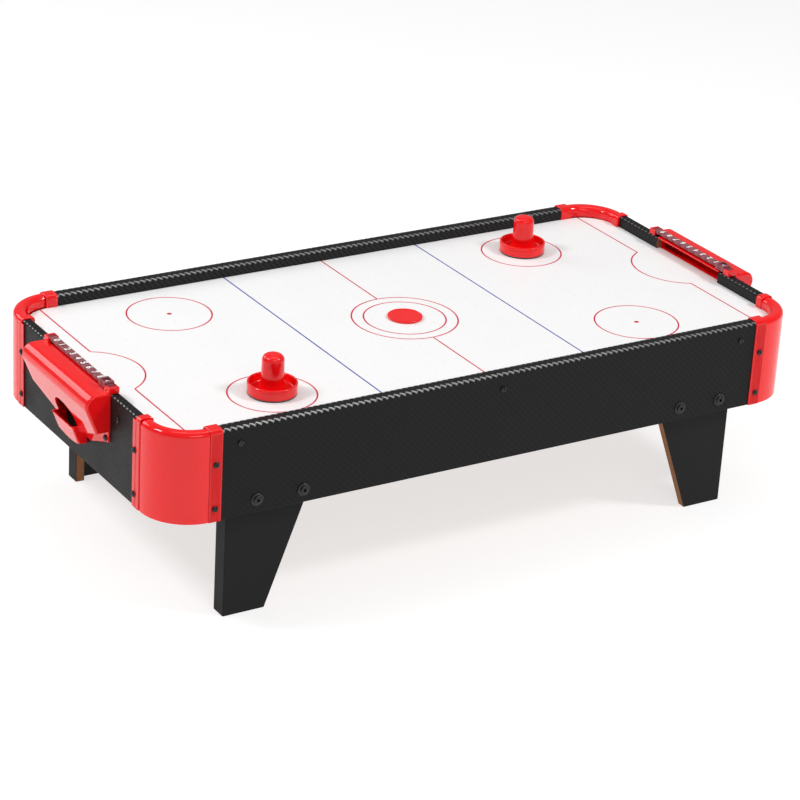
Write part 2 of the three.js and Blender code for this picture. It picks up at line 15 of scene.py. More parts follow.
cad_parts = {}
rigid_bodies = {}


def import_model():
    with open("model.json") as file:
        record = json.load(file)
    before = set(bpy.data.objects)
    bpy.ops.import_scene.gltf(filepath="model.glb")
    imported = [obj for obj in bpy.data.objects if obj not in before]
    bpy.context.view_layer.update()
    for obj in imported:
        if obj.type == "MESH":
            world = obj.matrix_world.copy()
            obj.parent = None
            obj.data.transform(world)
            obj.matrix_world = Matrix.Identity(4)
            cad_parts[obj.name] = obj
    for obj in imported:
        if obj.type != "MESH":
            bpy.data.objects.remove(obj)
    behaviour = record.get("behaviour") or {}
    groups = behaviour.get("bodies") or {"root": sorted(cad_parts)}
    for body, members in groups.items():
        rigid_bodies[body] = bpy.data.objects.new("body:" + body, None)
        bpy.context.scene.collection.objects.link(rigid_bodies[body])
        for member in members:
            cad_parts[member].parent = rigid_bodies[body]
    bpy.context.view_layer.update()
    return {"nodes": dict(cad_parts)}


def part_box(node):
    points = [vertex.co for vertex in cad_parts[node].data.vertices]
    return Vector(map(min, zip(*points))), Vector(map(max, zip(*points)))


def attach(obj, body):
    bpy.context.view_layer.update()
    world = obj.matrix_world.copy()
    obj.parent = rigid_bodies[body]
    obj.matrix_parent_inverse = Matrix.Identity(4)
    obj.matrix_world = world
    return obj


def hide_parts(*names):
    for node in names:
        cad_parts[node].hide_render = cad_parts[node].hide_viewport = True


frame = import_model()
MM = 0.001


def link(thing):
    bpy.context.scene.collection.objects.link(thing)


def node_box(node):
    """The lowest and highest corners of a CAD node, in millimetres."""
    low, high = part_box(node)
    return low / MM, high / MM


def node_middle(node):
    low, high = node_box(node)
    return (low + high) / 2


# ---------- driving dimensions, from the frame ----------
PANEL_LOW, PANEL_HIGH = node_box("back_panel")
END_LOW, END_HIGH = node_box("right_end_panel")
FIELD_LOW, FIELD_HIGH = node_box("playing_surface")
HALF_WIDTH = PANEL_HIGH.y
LONG_INNER = PANEL_LOW.y
LONG_HALF = PANEL_HIGH.x
HALF_LENGTH = END_HIGH.x
END_INNER = END_LOW.x
END_HALF = END_HIGH.y
PANEL_BOTTOM = PANEL_LOW.z
RAIL_TOP = PANEL_HIGH.z
FIELD_TOP = FIELD_HIGH.z
RAIL_ROUND = 3  # rounding of the panels' top edges
MOUTH_HALF = 64  # half width of a goal mouth
GAP = 0.3  # clearance between pieces that touch
SEAT = 0.05  # how far a screw's head stands off what it is screwed to
MOUTH_LOW = FIELD_LOW.z - GAP
DIGIT_PITCH = 14.05  # from one digit of a score bar to the next
CORNERS = (("front_left", -1, -1), ("front_right", 1, -1), ("back_left", -1, 1), ("back_right", 1, 1))

# ---------- camera ----------
CAMERA_AZIMUTH = math.radians(-32.78)
CAMERA_ELEVATION = math.radians(24.27)
CAMERA_ROLL = math.radians(3.38)
CAMERA_DISTANCE = 3.4602
CAMERA_TARGET = Vector((0.0062, 0.0097, 0.1118))
CAMERA_LENS = 128.39
CAMERA_SENSOR = 36
CAMERA_REACH = 50


def add_camera():
    level = math.cos(CAMERA_ELEVATION)
    back = Vector((math.sin(CAMERA_AZIMUTH) * level, -math.cos(CAMERA_AZIMUTH) * level,
                   math.sin(CAMERA_ELEVATION)))
    right = Vector((math.cos(CAMERA_AZIMUTH), math.sin(CAMERA_AZIMUTH), 0))
    up = back.cross(right)
    turn = Matrix.Rotation(CAMERA_ROLL, 3, back)
    axes = Matrix((turn @ right, turn @ up, back)).transposed()
    data = bpy.data.cameras.new("camera")
    data.lens = CAMERA_LENS
    data.sensor_width = CAMERA_SENSOR
    data.clip_end = CAMERA_REACH
    camera = bpy.data.objects.new("camera", data)
    link(camera)
    camera.matrix_world = Matrix.Translation(CAMERA_TARGET + back * CAMERA_DISTANCE) @ axes.to_4x4()
    bpy.context.scene.camera = camera


add_camera()


# ---------- material graphs ----------
class Graph:
    """A Principled material with short calls for the nodes used here."""

    def __init__(self, name, **sockets):
        self.material = bpy.data.materials.new(name)
        self.material.use_nodes = True
        self.tree = self.material.node_tree
        self.shader = self.tree.nodes["Principled BSDF"]
        for socket, value in sockets.items():
            self.set(self.shader, socket.replace("_", " "), value)

    def set(self, node, socket, value):
        """Links a socket to another node's output, or sets its own value."""
        target = node.inputs[socket]
        if isinstance(value, bpy.types.NodeSocket):
            self.tree.links.new(value, target)
        else:
            target.default_value = value

    def node(self, kind):
        return self.tree.nodes.new("ShaderNode" + kind)

    def math(self, operation, *values):
        node = self.node("Math")
        node.operation = operation
        for i, value in enumerate(values):
            self.set(node, i, value)
        return node.outputs[0]

    def plus(self, a, b):
        return self.math("ADD", a, b)

    def minus(self, a, b):
        return self.math("SUBTRACT", a, b)

    def times(self, a, b):
        return self.math("MULTIPLY", a, b)

    def ratio(self, a, b):
        return self.math("DIVIDE", a, b)

    def mix(self, factor, a, b):
        node = self.node("Mix")
        node.data_type = "RGBA"
        for socket, value in ((0, factor), (6, a), (7, b)):
            self.set(node, socket, value)
        return node.outputs[2]

    def place(self):
        """X, Y and Z in the frame, in millimetres."""
        return self.coordinates("Object")

    def along(self):
        """How far along and around the wrapped board, in millimetres."""
        return self.coordinates("UV")[:2]

    def coordinates(self, kind):
        source = self.node("TexCoord")
        scaled = self.node("VectorMath")
        scaled.operation = "SCALE"
        self.set(scaled, 0, source.outputs[kind])
        self.set(scaled, "Scale", 1 / MM)
        split = self.node("SeparateXYZ")
        self.set(split, 0, scaled.outputs[0])
        return tuple(split.outputs)

    def noise(self, size, detail=2, stretch=(1, 1, 1)):
        """Soft noise from 0 to 1 with features about size millimetres across."""
        place = self.node("TexCoord")
        turn = self.node("Mapping")
        self.set(turn, "Scale", stretch)
        self.set(turn, 0, place.outputs["Object"])
        node = self.node("TexNoise")
        self.set(node, "Vector", turn.outputs[0])
        self.set(node, "Scale", 1 / (size * MM))
        self.set(node, "Detail", detail)
        return node.outputs["Fac"]

    def between(self, value, low, high, to_low=0, to_high=1):
        """Value carried from low..high to to_low..to_high, and held at both ends."""
        node = self.node("MapRange")
        for socket, number in enumerate((value, low, high, to_low, to_high)):
            self.set(node, socket, number)
        return node.outputs[0]

    def edges(self, radius):
        """About 1 on sharp convex edges and 0 on open faces."""
        bevel = self.node("Bevel")
        bevel.samples = 4
        self.set(bevel, "Radius", radius * MM)
        geometry = self.node("NewGeometry")
        dot = self.node("VectorMath")
        dot.operation = "DOT_PRODUCT"
        self.set(dot, 0, bevel.outputs[0])
        self.set(dot, 1, geometry.outputs["Normal"])
        return self.between(dot.outputs["Value"], 0.98, 0.8)

    def colour(self, value):
        self.set(self.shader, "Base Color", value)

    def roughness(self, pattern, low, high):
        """Roughness that follows a noise pattern from low to high."""
        self.set(self.shader, "Roughness", self.between(pattern, 0.3, 0.7, low, high))

    def bump(self, height, distance):
        node = self.node("Bump")
        self.set(node, "Height", height)
        self.set(node, "Distance", distance * MM)
        self.set(self.shader, "Normal", node.outputs[0])


# ---------- materials ----------
TOW = 1.9  # width of one tow of the printed weave
TWILL = 4 * TOW  # the weave repeats after this
TOOTH_PEAK = 0.68  # where in a repeat a tooth is highest
TOOTH_HEIGHT = 3.8
DOT_ROW = 3.3


def tooth_glint(g, along, around, flat_half):
    """Painted highlight: slanted light strokes along both rounded edges, fainter to the right and on the
    back board.
    """
    facing = g.times(g.math("SIGN", around), g.ratio(along, -TWILL))
    turn = g.math("FRACT", facing)
    climb = g.math("MINIMUM", g.ratio(turn, TOOTH_PEAK),
                   g.ratio(g.minus(1.0, turn), 1 - TOOTH_PEAK))
    middle = g.math("MULTIPLY_ADD", climb, TOOTH_HEIGHT, flat_half - 0.2)
    off = g.math("ABSOLUTE", g.minus(g.math("ABSOLUTE", around), middle))
    stroke = g.between(off, 0.8, 1.8, 1.0, 0.0)
    slope = g.between(turn, 0.62, 0.74, 1.0, 0.4)
    x, y, _ = g.place()
    # The painted highlight fades towards the right and the back.
    highlight_fade = g.times(g.between(x, -LONG_HALF, LONG_HALF, 1.0, 0.45),
                 g.between(y, -1, 1, 1.0, 0.75))
    return g.times(g.times(stroke, slope), highlight_fade)


def dot_glint(g, along, around):
    """Painted highlight: one row of round light dots near each rounded edge, fainter on the right board."""
    across = g.math("ABSOLUTE", around)
    row = g.ratio(across, DOT_ROW)
    column = g.math("MULTIPLY_ADD", g.math("FLOOR", row), 0.5, g.ratio(along, TWILL))
    cells = [g.minus(g.math("FRACT", value), 0.5) for value in (column, row)]
    far = g.plus(*[g.times(c, c) for c in cells])
    dots = g.between(far, 0.04, 0.11, 1.0, 0.0)
    in_row = g.times(dots, g.math("COMPARE", across, 1.5 * DOT_ROW, DOT_ROW / 2))
    x, _, _ = g.place()
    return g.times(in_row, g.between(x, -1, 1, 1.0, 0.5))


def woven_board(name, flat_half, teeth):
    """Vinyl with a woven print: tows of a two-by-two twill, embossed and satin.

    The wrap's second coordinate runs round the board from the middle of its top, down the outer face
    (negative) and the inner face (positive). The top is flat to flat_half and rounded beyond that.
    Along the rounded edges a highlight is painted into the colour: as teeth or as dots.
    """
    g = Graph(name, Specular_IOR_Level=0.12)
    along, around = g.along()
    tows = [g.ratio(value, TOW) for value in (along, around)]
    step = g.plus(g.math("FLOOR", tows[0]), g.math("FLOOR", tows[1]))
    over = g.math("LESS_THAN", g.math("FLOORED_MODULO", step, 4.0), 2.0)

    def crown(value):
        middle = g.minus(g.math("FRACT", value), 0.5)
        return g.minus(1.0, g.times(g.times(middle, middle), 4.0))

    upright, level = crown(tows[0]), crown(tows[1])
    height = g.plus(g.times(over, upright),
                    g.times(g.minus(1.0, over), level))
    grime = g.noise(30, 4)
    ground = g.mix(grime, (0.0078, 0.0078, 0.0082, 1), (0.0102, 0.0100, 0.0102, 1))
    # The weave shows less on the tall outer face than on the rail, and its valleys most on the inner face.
    # The over tows are a lighter grey: a woven print that also stands in for their sheen. The inner face is
    # a lighter grey, and the dark diagonal stripes are painted shade in the weave's grooves.
    shown = g.between(around, -flat_half - 6, -flat_half - 3, 0.18, 0.4)
    tone = g.mix(g.times(over, shown), ground, (0.022, 0.022, 0.023, 1))
    diagonal = g.math("FRACT", g.ratio(g.plus(along, around), TWILL))
    # Dark diagonal stripes: painted shade in the weave's grooves, deepest on the inner face.
    painted_valley_shade = g.math("COMPARE", diagonal, 0.5, 0.12)
    inner = g.between(around, flat_half + 4, flat_half + 7)
    tone = g.mix(g.times(inner, 0.6), tone, (0.026, 0.026, 0.027, 1))
    depth = g.math("MULTIPLY_ADD", inner, 0.65, 0.25)
    tone = g.mix(g.times(painted_valley_shade, depth), tone, (0.003, 0.003, 0.0033, 1))
    # A highlight painted into the colour along the rounded edges, in a lighter grey.
    if teeth:
        painted_highlight = tooth_glint(g, along, around, flat_half)
        highlight_colour = (0.5, 0.5, 0.51, 1)
    else:
        painted_highlight = dot_glint(g, along, around)
        highlight_colour = (0.30, 0.30, 0.31, 1)
    g.colour(g.mix(g.times(painted_highlight, g.between(grime, 0.3, 0.7, 0.75, 1.0)), tone, highlight_colour))
    dull = g.between(grime, 0.3, 0.7, 0.44, 0.52)
    g.set(g.shader, "Roughness", g.plus(g.times(over, -0.08), dull))
    g.bump(height, 0.12)
    return g.material


def black_board():
    """Plain black vinyl with a fine leathery grain, duller where it has been handled."""
    g = Graph("black_board", Specular_IOR_Level=0.15)
    grain = g.noise(0.8, 3)
    cloud = g.noise(45, 4)
    g.colour(g.mix(cloud, (0.0088, 0.0088, 0.0091, 1), (0.0122, 0.0120, 0.0121, 1)))
    g.roughness(cloud, 0.5, 0.62)
    g.bump(grain, 0.04)
    return g.material


def raw_board():
    """Bare fibreboard: fine fibres, darker flecks and a chalky surface."""
    g = Graph("raw_board", Specular_IOR_Level=0.2)
    fibres = g.noise(1.1, 4, (0.35, 0.35, 1.8))
    flecks = g.between(g.noise(2.4, 3), 0.56, 0.72)
    wood = g.mix(fibres, (0.20, 0.085, 0.035, 1), (0.36, 0.165, 0.075, 1))
    g.colour(g.mix(flecks, wood, (0.11, 0.045, 0.02, 1)))
    g.roughness(fibres, 0.75, 0.95)
    g.bump(fibres, 0.25)
    return g.material


# The printed lines, in millimetres from the print's own centre, which is a little off the field's.
# Both creases are printed a little to the back of it.
PRINT_CENTRE = (-0.9, -1.1)
PRINT_HALF = 1.0  # half the width of a line
GOAL_LINE = {"left": 383.9, "right": 386.9}
CREASE_X = {"left": 413.1, "right": 414.9}
CREASE_Y = 5.5
CREASE_HALF = 56.6
CREASE_RADIUS = 63.6
BLUE_LINE = 137.6
CENTRE_RINGS = (63.8, 49.4)
SPOT_X, SPOT_Y = 250.3, 125.3
SPOT_RING = 50.6
SPOT_DOT = 3.0
HOLE_PITCH = 25.4
HOLE_RADIUS = 0.5


def white_board():
    """Gloss white laminate with the printed lines and the small air holes."""
    g = Graph("white_board", Specular_IOR_Level=0.2)
    x, y = (g.minus(value, offset) for value, offset in zip(g.place(), PRINT_CENTRE))
    across, wide = g.math("ABSOLUTE", x), g.math("ABSOLUTE", y)

    def distance(centre_x, centre_y, from_x=across, from_y=wide):
        dx = g.minus(from_x, centre_x)
        dy = g.minus(from_y, centre_y)
        return g.math("SQRT", g.plus(g.times(dx, dx), g.times(dy, dy)))

    def line(value, at):
        return g.math("COMPARE", value, at, PRINT_HALF)

    from_centre = distance(0, 0)
    from_spot = distance(SPOT_X, SPOT_Y)
    right_side = g.math("GREATER_THAN", x, 0)
    goal_at = g.between(right_side, 0, 1, GOAL_LINE["left"], GOAL_LINE["right"])
    crease_x = g.between(right_side, 0, 1, CREASE_X["left"], CREASE_X["right"])
    beside = g.math("ABSOLUTE", g.minus(y, CREASE_Y))
    from_crease = distance(crease_x, CREASE_Y, across, y)
    goal = g.times(line(across, goal_at), g.math("GREATER_THAN", beside, CREASE_HALF))
    crease = g.times(line(from_crease, CREASE_RADIUS), g.math("LESS_THAN", across, goal_at))
    centre = g.times(line(across, 0), g.math("GREATER_THAN", from_centre, CENTRE_RINGS[0]))
    same_side = g.times(x, y)
    dot = g.times(g.math("LESS_THAN", from_spot, SPOT_DOT), g.math("LESS_THAN", same_side, 0))
    red = dot
    rings = [line(from_centre, radius) for radius in CENTRE_RINGS]
    for mask in (goal, crease, centre, line(from_spot, SPOT_RING), *rings):
        red = g.math("MAXIMUM", red, mask)
    blue = line(across, BLUE_LINE)

    def nearest(value):
        shifted = g.plus(g.ratio(value, HOLE_PITCH), 0.5)
        return g.times(g.minus(g.math("FRACT", shifted), 0.5), HOLE_PITCH)

    hole = g.math("LESS_THAN", distance(0, 0, nearest(x), nearest(y)), HOLE_RADIUS)
    tint = g.mix(g.noise(60, 3), (0.85, 0.845, 0.845, 1), (0.88, 0.875, 0.877, 1))
    specks = g.between(g.noise(1.6, 1), 0.74, 0.8)
    surface = g.mix(g.times(specks, 0.12), tint, (0.35, 0.33, 0.3, 1))
    printed = g.mix(red, surface, (0.60, 0.018, 0.055, 1))
    printed = g.mix(blue, printed, (0.05, 0.085, 0.38, 1))
    g.colour(g.mix(hole, printed, (0.45, 0.44, 0.43, 1)))
    g.roughness(g.noise(14, 3), 0.32, 0.42)
    g.bump(g.noise(3, 2), 0.02)
    return g.material


def red_plastic():
    """Glossy moulded plastic: a faint orange-peel surface, paler edges that are rubbing wear and a painted
    highlight.
    """
    g = Graph("red_plastic", Specular_IOR_Level=0.5, Subsurface_Weight=0.3, Subsurface_Scale=0.004)
    g.set(g.shader, "Subsurface Radius", (1.0, 0.06, 0.05))
    depth = g.mix(g.noise(60, 2), (0.86, 0.0048, 0.0068, 1), (0.89, 0.0058, 0.008, 1))
    # Paler edges: rubbing wear and a painted highlight.
    g.colour(g.mix(g.times(g.edges(0.4), 0.25), depth, (0.9, 0.03, 0.03, 1)))
    g.roughness(g.noise(12, 3), 0.05, 0.08)
    g.bump(g.noise(2.5, 1), 0.002)
    return g.material


def maroon_plastic():
    """Dark tinted clear plastic, glossy on top, with a greyish painted reflection between the digits."""
    g = Graph("maroon_plastic", Specular_IOR_Level=0.35, Coat_Weight=0.2, Coat_Roughness=0.15)
    _, y, _ = g.place()
    turn = g.math("FRACT", g.ratio(y, DIGIT_PITCH))
    # A greyish painted reflection between the digits.
    painted_reflection = g.between(g.math("ABSOLUTE", g.minus(turn, 0.5)), 0.22, 0.3, 0.0, 1.0)
    tint = g.mix(g.noise(9, 3), (0.18, 0.016, 0.030, 1), (0.22, 0.022, 0.040, 1))
    g.colour(g.mix(g.times(painted_reflection, 0.6), tint, (0.30, 0.11, 0.12, 1)))
    g.roughness(g.noise(5, 2), 0.2, 0.3)
    g.bump(g.noise(1.2, 2), 0.006)
    return g.material


def white_ink():
    g = Graph("white_ink", Specular_IOR_Level=0.4)
    g.colour(g.mix(g.noise(0.8, 3), (0.78, 0.78, 0.78, 1), (0.9, 0.9, 0.9, 1)))
    g.roughness(g.noise(2, 2), 0.35, 0.5)
    return g.material


def felt():
    g = Graph("felt", Specular_IOR_Level=0.1, Sheen_Weight=0.4, Sheen_Roughness=0.5)
    fuzz = g.noise(0.5, 4)
    g.colour(g.mix(fuzz, (0.018, 0.03, 0.025, 1), (0.06, 0.085, 0.07, 1)))
    g.roughness(fuzz, 0.85, 1.0)
    g.bump(fuzz, 0.2)
    return g.material


def black_steel():
    """Blackened screws: dark, oily, with lighter edges that are rubbing wear and a painted highlight."""
    g = Graph("black_steel", Specular_IOR_Level=0.45)
    # Lighter edges: rubbing wear and a painted highlight.
    wear_and_highlight = g.times(g.edges(0.25), 0.3)
    g.colour(g.mix(wear_and_highlight, (0.006, 0.006, 0.0065, 1), (0.06, 0.06, 0.062, 1)))
    g.roughness(g.noise(1.2, 3), 0.08, 0.13)
    g.bump(g.noise(0.7, 2), 0.01)
    return g.material


def dark_zinc():
    """Leg bolts and their washers: dull grey plated steel, with paler edges that are wear and a painted
    ring highlight.
    """
    g = Graph("dark_zinc", Metallic=0.85)
    # Paler edges: wear and a painted ring highlight.
    wear_and_highlight = g.times(g.edges(0.3), 0.4)
    plating = g.mix(g.noise(3, 4), (0.028, 0.028, 0.029, 1), (0.05, 0.05, 0.052, 1))
    g.colour(g.mix(wear_and_highlight, plating, (0.42, 0.42, 0.43, 1)))
    g.roughness(g.noise(1.5, 3), 0.3, 0.46)
    g.bump(g.noise(0.8, 3), 0.015)
    return g.material


def black_plastic():
    """Matt moulded plastic with a spark-eroded grain."""
    g = Graph("black_plastic", Specular_IOR_Level=0.4)
    grain = g.noise(0.45, 3)
    g.colour(g.mix(g.noise(12, 3), (0.013, 0.013, 0.014, 1), (0.022, 0.022, 0.023, 1)))
    g.roughness(grain, 0.42, 0.6)
    g.bump(grain, 0.05)
    return g.material


def flat_top(outer, inner):
    """Half the width of a board's top between its rounded edges."""
    return (outer - inner) / 2 - RAIL_ROUND


LONG_WRAP = woven_board("long_board_wrap", flat_top(HALF_WIDTH, LONG_INNER), teeth=True)
END_WRAP = woven_board("end_board_wrap", flat_top(HALF_LENGTH, END_INNER), teeth=False)
PLAIN, RAW, WHITE, RED = black_board(), raw_board(), white_board(), red_plastic()
MAROON, INK, FELT, STEEL = maroon_plastic(), white_ink(), felt(), black_steel()
ZINC, BLACK = dark_zinc(), black_plastic()


# ---------- mesh helpers ----------
def new_mesh(name, body, smooth=30, place=None):
    """A mesh in metres from a bmesh in millimetres, smooth where faces meet by less than the angle."""
    bmesh.ops.recalc_face_normals(body, faces=body.faces)
    mesh = bpy.data.meshes.new(name)
    if place is not None:
        body.transform(place)
    body.transform(Matrix.Scale(MM, 4))
    body.to_mesh(mesh)
    body.free()
    mesh.shade_smooth()
    mesh.set_sharp_from_angle(angle=math.radians(smooth))
    return mesh


def add_piece(name, mesh, body, materials, replaces=(), place=None, even=True):
    """Puts a mesh in the scene, at a place if it has one, as a piece that rides on a body.

    If even is set, flat faces are shaded flat, and only the narrow faces between them bend the light.
    """
    piece = bpy.data.objects.new(name, mesh)
    link(piece)
    if place is not None:
        piece.matrix_world = place
    if not mesh.materials:
        for material in materials:
            mesh.materials.append(material)
    if even:
        piece.modifiers.new("even_normals", "WEIGHTED_NORMAL").keep_sharp = True
    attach(piece, body)
    if replaces:
        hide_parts(*replaces)


def fillet(points, steps=5):
    """A closed outline with each corner (a, b, radius) turned into an arc of its radius."""
    result = []
    for i, (a, b, radius) in enumerate(points):
        corner = Vector((a, b))
        before = Vector(points[i - 1][:2]) - corner
        after = Vector(points[(i + 1) % len(points)][:2]) - corner
        if radius <= 0:
            result.append(corner)
            continue
        half = before.angle(after) / 2
        reach = min(radius / math.tan(half), 0.499 * before.length, 0.499 * after.length)
        start, end = before.normalized() * reach, after.normalized() * reach
        centre = (start + end).normalized() * (reach / math.cos(half))
        sweep = math.pi - 2 * half
        for k in range(steps + 1):
            near, far = math.sin((1 - k / steps) * sweep), math.sin(k / steps * sweep)
            arm = ((start - centre) * near + (end - centre) * far) / math.sin(sweep)
            result.append(corner + centre + arm)
    return [(p.x, p.y) for p in result]


def skin(body, rings, material=lambda ring, side: 0):
    """Joins rings of equally many points into a body that is capped at each end."""
    rows = [[body.verts.new(p) for p in ring] for ring in rings]
    count = len(rows[0])
    for r, (a, b) in enumerate(zip(rows, rows[1:])):
        for i in range(count):
            j = (i + 1) % count
            body.faces.new((a[i], a[j], b[j], b[i])).material_index = material(r, i)
    body.faces.new(rows[0][::-1])
    body.faces.new(rows[-1])
    return body


def lathe(body, profile, segments=64, closed=False):
    """Turns a profile of (radius, height) about Z. A closed profile makes a ring."""
    turns = [2 * math.pi * i / segments for i in range(segments)]
    rows = []
    for radius, z in profile:
        around = turns if radius > 1e-6 else turns[:1]
        rows.append([body.verts.new((radius * math.cos(t), radius * math.sin(t), z)) for t in around])
    pairs = list(zip(rows, rows[1:])) + ([(rows[-1], rows[0])] if closed else [])
    for a, b in pairs:
        for i in range(segments):
            j = (i + 1) % segments
            corners = [a[i % len(a)], a[j % len(a)], b[j % len(b)], b[i % len(b)]]
            body.faces.new(list(dict.fromkeys(corners)))
    return body


def shrunk(outline, by):
    """A flat outline with each side moved inwards by about the same distance."""
    count = len(outline)
    area = sum(outline[i - 1][0] * outline[i][1] - outline[i][0] * outline[i - 1][1] for i in range(count))
    turn = 1 if area > 0 else -1
    result = []
    for i in range(count):
        here = Vector(outline[i])
        back = (here - Vector(outline[i - 1])).normalized()
        ahead = (Vector(outline[(i + 1) % count]) - here).normalized()
        inward = (Vector((-back.y, back.x)) + Vector((-ahead.y, ahead.x))).normalized() * turn
        result.append(tuple(here + inward * by))
    return result


def prism(body, outline, low, high, chamfer=0.0, upright=lambda a, b, c: (a, b, c)):
    """A flat outline given thickness, its far edge chamfered. upright() sets it in space."""
    levels = [(low, 0.0), (high - chamfer, 0.0), (high, chamfer)] if chamfer else [(low, 0.0), (high, 0.0)]
    return skin(body, [[upright(a, b, c) for a, b in shrunk(outline, by)] for c, by in levels])


def block(body, low, high, radius=0.0, steps=2):
    """A box between two corners with its edges rounded."""
    made = bmesh.ops.create_cube(body, size=1)["verts"]
    size = Vector(high) - Vector(low)
    for vertex in made:
        vertex.co = Vector(low) + Vector([(c + 0.5) * s for c, s in zip(vertex.co, size)])
    if radius:
        edges = list({e for v in made for e in v.link_edges})
        bmesh.ops.bevel(body, geom=edges, offset=radius, segments=steps, affect="EDGES", profile=0.5)
    return body


def combine(first, others, operation):
    """The boolean of a bmesh with others, each a bmesh in the same place."""
    scene = bpy.context.scene.collection.objects
    holders = []
    for i, body in enumerate([first, *others]):
        bmesh.ops.recalc_face_normals(body, faces=body.faces)
        mesh = bpy.data.meshes.new("part")
        body.to_mesh(mesh)
        body.free()
        holders.append(bpy.data.objects.new(f"part_{i}", mesh))
        scene.link(holders[-1])
    base = holders[0]
    for other in holders[1:]:
        change = base.modifiers.new("cut", "BOOLEAN")
        change.operation = operation
        change.object = other
        change.solver = "EXACT"
    depsgraph = bpy.context.evaluated_depsgraph_get()
    result = bmesh.new()
    result.from_mesh(base.evaluated_get(depsgraph).data)
    for holder in holders:
        mesh = holder.data
        bpy.data.objects.remove(holder)
        bpy.data.meshes.remove(mesh)
    return result


# ---------- panels ----------
def board_section(outer, inner, marks=()):
    """A board's outline as (distance out, height), from its bottom outer corner up and over."""
    outline = [(outer, PANEL_BOTTOM, 0.7), *[(outer, z, 0) for z in marks], (outer, RAIL_TOP, RAIL_ROUND),
               (inner, RAIL_TOP, RAIL_ROUND), *[(inner, z, 0) for z in marks], (inner, PANEL_BOTTOM, 0.7)]
    return fillet(outline, 8)


def wrap_turns(section):
    """How far round the board each point of its section is, from the middle of its top."""
    turns = [0.0]
    for (a0, b0), (a1, b1) in zip(section, section[1:] + section[:1]):
        turns.append(turns[-1] + math.hypot(a1 - a0, b1 - b0))
    flats = [i for i, (here, after) in enumerate(zip(section, section[1:] + section[:1]))
             if min(here[1], after[1]) > RAIL_TOP - 0.001]
    top_middle = (turns[flats[0]] + turns[flats[-1] + 1]) / 2
    return [turn - top_middle for turn in turns]


def add_panel(node, wrap, out_way, outer, inner, half, mouth=0.0):
    """A wrapped board that faces out_way, with a mouth cut down past the field if mouth is set."""
    out = Vector((*out_way, 0))
    right = Vector((-out.y, out.x, 0))
    section = board_section(outer, inner, (MOUTH_LOW,) if mouth else ())
    turns = wrap_turns(section)
    count = len(section)
    bare = [max(section[i][1], section[(i + 1) % count][1]) < PANEL_BOTTOM + 0.05 for i in range(count)]
    high = [i for i in range(count) if section[i][1] >= MOUTH_LOW - 0.001]
    stations = [-half, -mouth, mouth, half] if mouth else [-half, half]
    body = bmesh.new()
    uv = body.loops.layers.uv.new("wrap")
    rows = [[body.verts.new(out * a + right * s + Vector((0, 0, b))) for a, b in section] for s in stations]
    for r, (s0, s1) in enumerate(zip(stations, stations[1:])):
        in_mouth = bool(mouth) and r == 1
        for i in range(count):
            j = (i + 1) % count
            if in_mouth and i in high and j in high:
                continue
            face = body.faces.new((rows[r][i], rows[r][j], rows[r + 1][j], rows[r + 1][i]))
            face.material_index = 1 if bare[i] else 0
            places = ((s0, turns[i]), (s0, turns[i + 1]), (s1, turns[i + 1]), (s1, turns[i]))
            for loop, place in zip(face.loops, places):
                loop[uv].uv = Vector(place) * MM
        if in_mouth:
            ends = (rows[1][high[0]], rows[1][high[-1]], rows[2][high[-1]], rows[2][high[0]])
            body.faces.new(ends).material_index = 1
            for row in (rows[1], rows[2]):
                body.faces.new([row[i] for i in high]).material_index = 1
    for row in (rows[0], rows[-1]):
        body.faces.new(row).material_index = 1
    mesh = new_mesh(node + "_board", body)
    add_piece(node + "_board", mesh, "table", (wrap, RAW), [node])


add_panel("front_panel", LONG_WRAP, (0, -1), HALF_WIDTH, LONG_INNER, LONG_HALF)
add_panel("back_panel", LONG_WRAP, (0, 1), HALF_WIDTH, LONG_INNER, LONG_HALF)
add_panel("left_end_panel", END_WRAP, (-1, 0), HALF_LENGTH, END_INNER, END_HALF, MOUTH_HALF)
add_panel("right_end_panel", END_WRAP, (1, 0), HALF_LENGTH, END_INNER, END_HALF, MOUTH_HALF)


# ---------- legs ----------
LEG_LOW, LEG_HIGH = node_box("back_right_leg")
LEG_BOARD = 11  # thickness of a leg's board
LEG_FOOT_INNER = 293  # inner edge of a foot
LEG_LEAN = 0.377  # how far the inner edge leans in per unit of height
LEG_EDGE = 0.5  # rounding of a leg's edges
LEG_FOLD = 1.2  # rounding where the wrap is folded over


def leg_mesh(sx, sy):
    """A tapered board with a flange folded back along its outer edge, its cut edges left bare."""
    front, outer, back = LEG_HIGH.y, LEG_HIGH.x, LEG_LOW.y

    def outline_at(z):
        inner = LEG_FOOT_INNER - LEG_LEAN * z
        return [(inner, front, LEG_EDGE), (outer, front, LEG_FOLD), (outer, back, LEG_EDGE),
                (outer - LEG_BOARD, back, LEG_EDGE), (outer - LEG_BOARD, front - LEG_BOARD, 0.8),
                (inner, front - LEG_BOARD, LEG_EDGE)]

    rings = [[(sx * x, sy * y, z) for x, y in fillet(outline_at(z), 3)] for z in (0.0, LEG_HIGH.z)]
    per_corner = len(rings[0]) // len(outline_at(0))
    bare_sides = (2, 5)  # the flange's back edge and the board's inner edge

    def finish(_, side):
        return 1 if (side + 1) % per_corner == 0 and side // per_corner in bare_sides else 0

    body = bmesh.new()
    skin(body, rings, finish)
    for face in body.faces:
        if len(face.verts) > 4:
            face.material_index = 1
    return new_mesh("leg", body)


for corner, side_x, side_y in CORNERS:
    add_piece(f"{corner}_leg_board", leg_mesh(side_x, side_y), "table", (PLAIN, RAW),
              [f"{corner}_leg"])


